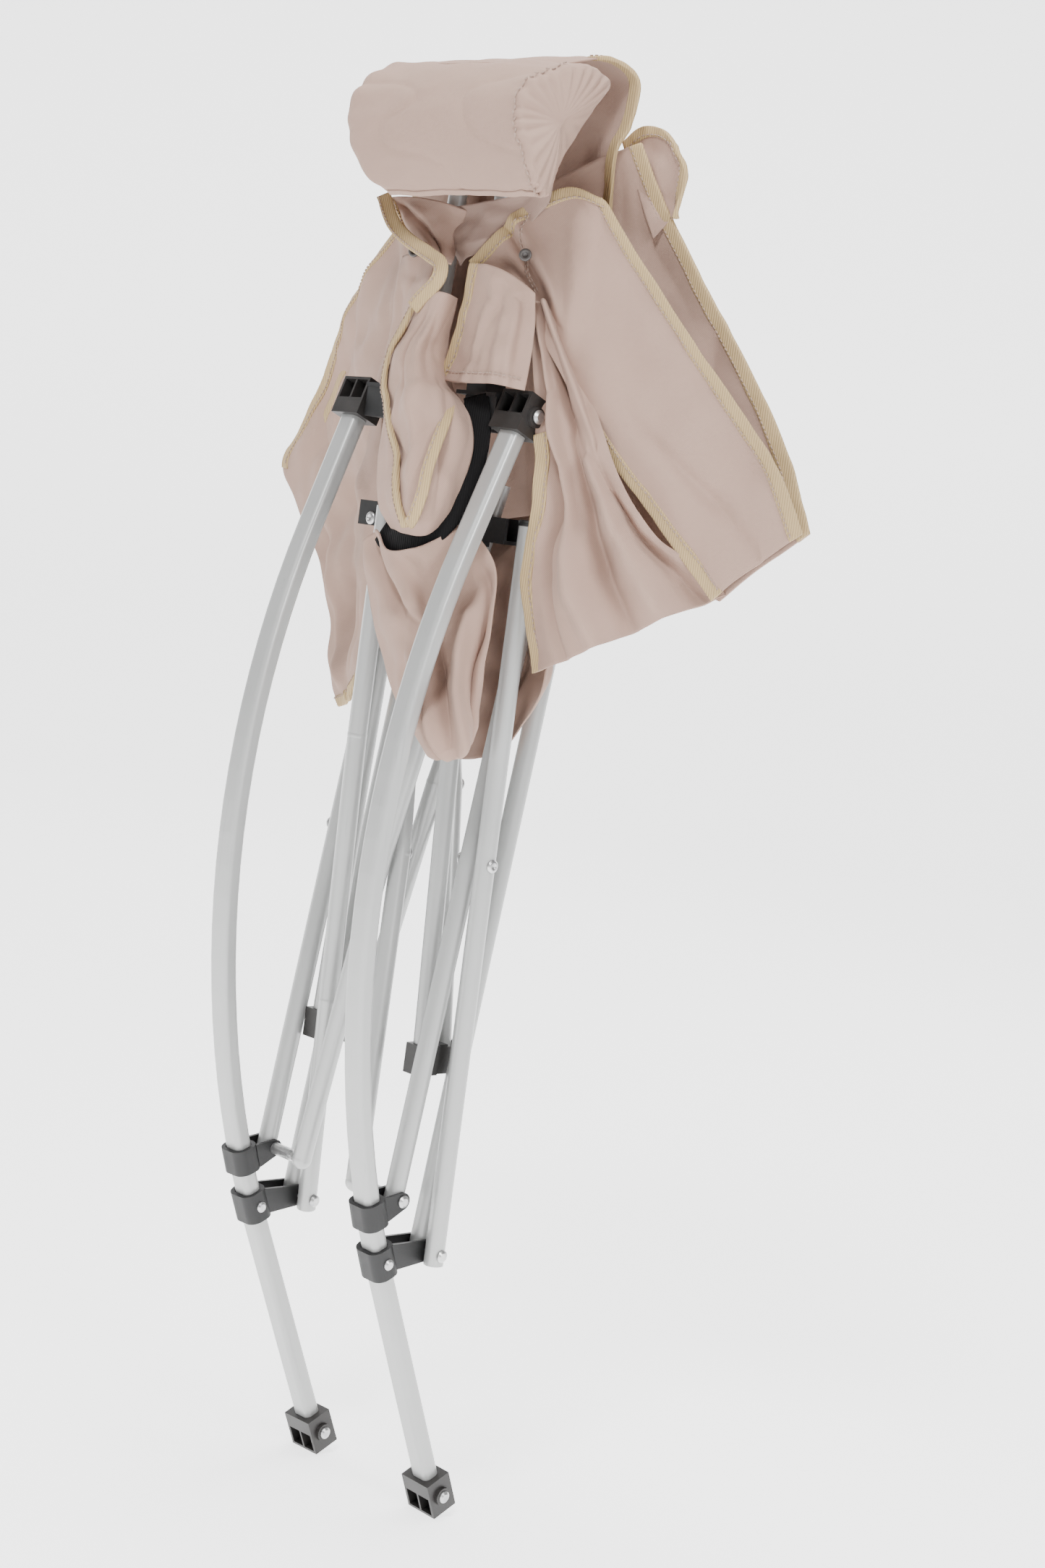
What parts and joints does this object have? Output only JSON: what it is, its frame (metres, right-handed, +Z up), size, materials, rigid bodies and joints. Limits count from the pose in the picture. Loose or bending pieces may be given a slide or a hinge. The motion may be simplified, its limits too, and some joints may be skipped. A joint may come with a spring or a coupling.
{
  "type": "folding camp chair",
  "caption": "Folding camp chair with bowed tube legs that are also its armrests, crossing arms, sliding clamps, a padded headrest and a hanging fabric seat, shown folded.",
  "frame": {"origin": "between the two front feet, 6 mm above the surface they stand on", "axes": "+Z up along the folded chair, +Y towards its back, +X towards the sitter's left-hand side seen from behind, which is the right in a front view"},
  "size_m": [0.6222, 0.1905, 1.1629],
  "materials": {
    "tube": "light grey powder coat",
    "plastic": "moulded charcoal nylon",
    "zinc": "zinc plated",
    "fabric": "woven polyester, taupe"
  },
  "bodies": {
    "left_frame": {"left_post": "tube", "left_rear_foot": "plastic", "left_pivot_bracket": "plastic", "left_rivets": "zinc", "left_plug": "tube", "left_wing": "fabric"},
    "right_frame": {"right_post": "tube", "right_rear_foot": "plastic", "right_pivot_bracket": "plastic", "right_rivets": "zinc", "right_plug": "tube", "right_wing": "fabric"},
    "left_bow": {"left_bow_tube": "tube", "left_front_foot": "plastic", "left_bow_end": "plastic", "left_lower_clamp": "plastic", "left_lower_pins": "zinc"},
    "right_bow": {"right_bow_tube": "tube", "right_front_foot": "plastic", "right_bow_end": "plastic", "right_lower_clamp": "plastic", "right_lower_pins": "zinc"},
    "left_sliding_clamp": {"left_upper_clamp": "plastic", "left_spacer_bolt": "zinc"},
    "right_sliding_clamp": {"right_upper_clamp": "plastic", "right_spacer_bolt": "zinc"},
    "left_long_arm": {"left_long_tube": "tube"},
    "right_long_arm": {"right_long_tube": "tube"},
    "left_short_arm": {"left_short_tube": "tube"},
    "right_short_arm": {"right_short_tube": "tube"},
    "left_back_arm": {"left_back_tube": "tube"},
    "right_back_arm": {"right_back_tube": "tube"},
    "left_cross_arm": {"left_cross_tube": "tube"},
    "right_cross_arm": {"right_cross_tube": "tube"},
    "left_rear_arm": {"left_rear_tube": "tube"},
    "right_rear_arm": {"right_rear_tube": "tube"},
    "left_slider": {"left_slider_block": "plastic"},
    "right_slider": {"right_slider_block": "plastic"},
    "fabric_centre": {"headrest": "fabric", "back_panel": "fabric", "seat_sling": "fabric"}
  },
  "joints": [
    {"name": "left_bow_fold", "type": "hinge", "parent": "left_frame", "child": "left_bow", "pos_m": [0, -0.01565, 0.888], "axis": [-1, 0, 0], "range_deg": [0, 50]},
    {"name": "width_slide", "type": "slide", "parent": "left_frame", "child": "right_frame", "axis": [1, 0, 0], "range_m": [0, 0.2001]},
    {"name": "right_bow_fold", "type": "hinge", "parent": "right_frame", "child": "right_bow", "pos_m": [0, -0.01565, 0.888], "axis": [-1, 0, 0], "range_deg": [0, 50.1]},
    {"name": "centre_slide", "type": "slide", "parent": "left_frame", "child": "fabric_centre", "axis": [1, 0, 0], "range_m": [0, 0.1001], "deforming": ["seat_sling"]},
    {"name": "left_clamp_slide", "type": "hinge", "parent": "left_bow", "child": "left_sliding_clamp", "pos_m": [-0.08666, 0.661, 0.525], "axis": [-0.9998, 0, -0.0203], "range_deg": [0, 1.01]},
    {"name": "left_long_arm_turn", "type": "hinge", "parent": "left_bow", "child": "left_long_arm", "pos_m": [-0.0597, 0.008, 0.226], "axis": [-1, 0, 0], "range_deg": [0, 9]},
    {"name": "left_short_arm_turn", "type": "hinge", "parent": "left_sliding_clamp", "child": "left_short_arm", "pos_m": [-0.0805, -0.026, 0.269], "axis": [-1, 0, 0], "range_deg": [0, 14.2]},
    {"name": "left_back_arm_turn", "type": "hinge", "parent": "left_bow", "child": "left_back_arm", "pos_m": [-0.0805, 0.008, 0.226], "axis": [-1, 0, 0], "range_deg": [0, 13]},
    {"name": "left_cross_arm_turn", "type": "hinge", "parent": "left_sliding_clamp", "child": "left_cross_arm", "pos_m": [-0.034, -0.026, 0.269], "axis": [-0.5031, 0.8642, -0.006], "range_deg": [0, 22.6]},
    {"name": "left_rear_arm_turn", "type": "hinge", "parent": "left_frame", "child": "left_rear_arm", "pos_m": [-0.05, 0.034, 0.374], "axis": [0, 1, 0], "range_deg": [0, 29.9]},
    {"name": "left_slider_slide", "type": "slide", "parent": "left_frame", "child": "left_slider", "axis": [-0.0539, 0, -0.9985], "range_m": [0, 0.0829]},
    {"name": "right_clamp_slide", "type": "hinge", "parent": "right_bow", "child": "right_sliding_clamp", "pos_m": [0.08666, 0.661, 0.525], "axis": [-0.9998, 0, 0.0203], "range_deg": [0, 1.01]},
    {"name": "right_long_arm_turn", "type": "hinge", "parent": "right_bow", "child": "right_long_arm", "pos_m": [0.1001, 0.008, 0.226], "axis": [-1, 0, 0], "range_deg": [0, 13]},
    {"name": "right_short_arm_turn", "type": "hinge", "parent": "right_sliding_clamp", "child": "right_short_arm", "pos_m": [0.0805, -0.026, 0.269], "axis": [-1, 0, 0], "range_deg": [0, 14.2]},
    {"name": "right_back_arm_turn", "type": "hinge", "parent": "right_bow", "child": "right_back_arm", "pos_m": [0.0805, 0.008, 0.226], "axis": [-1, 0, 0], "range_deg": [0, 13]},
    {"name": "right_cross_arm_turn", "type": "hinge", "parent": "right_sliding_clamp", "child": "right_cross_arm", "pos_m": [0.034, -0.026, 0.269], "axis": [-0.5031, -0.8642, 0.006], "range_deg": [0, 22.6]},
    {"name": "right_rear_arm_turn", "type": "hinge", "parent": "right_frame", "child": "right_rear_arm", "pos_m": [0.05, 0.034, 0.374], "axis": [0, -1, 0], "range_deg": [0, 29.9]},
    {"name": "right_slider_slide", "type": "slide", "parent": "right_frame", "child": "right_slider", "axis": [0.0539, 0, -0.9985], "range_m": [0, 0.0829]}
  ],
  "couplings": [
    {"joint": "width_slide", "follows": "left_bow_fold", "m_per_rad": 0.22918},
    {"joint": "right_bow_fold", "follows": "left_bow_fold", "ratio": 1},
    {"joint": "centre_slide", "follows": "left_bow_fold", "m_per_rad": 0.11459},
    {"joint": "left_clamp_slide", "follows": "left_bow_fold", "ratio": 0.02},
    {"joint": "left_long_arm_turn", "follows": "left_bow_fold", "ratio": 0.17},
    {"joint": "left_short_arm_turn", "follows": "left_bow_fold", "ratio": 0.28},
    {"joint": "left_back_arm_turn", "follows": "left_bow_fold", "ratio": 0.25},
    {"joint": "left_cross_arm_turn", "follows": "left_bow_fold", "ratio": 0.45},
    {"joint": "left_rear_arm_turn", "follows": "left_bow_fold", "ratio": 0.596},
    {"joint": "left_slider_slide", "follows": "left_bow_fold", "m_per_rad": 0.09477},
    {"joint": "right_clamp_slide", "follows": "left_bow_fold", "ratio": 0.02},
    {"joint": "right_long_arm_turn", "follows": "left_bow_fold", "ratio": 0.256},
    {"joint": "right_short_arm_turn", "follows": "left_bow_fold", "ratio": 0.28},
    {"joint": "right_back_arm_turn", "follows": "left_bow_fold", "ratio": 0.25},
    {"joint": "right_cross_arm_turn", "follows": "left_bow_fold", "ratio": 0.45},
    {"joint": "right_rear_arm_turn", "follows": "left_bow_fold", "ratio": 0.596},
    {"joint": "right_slider_slide", "follows": "left_bow_fold", "m_per_rad": 0.09477}
  ]
}
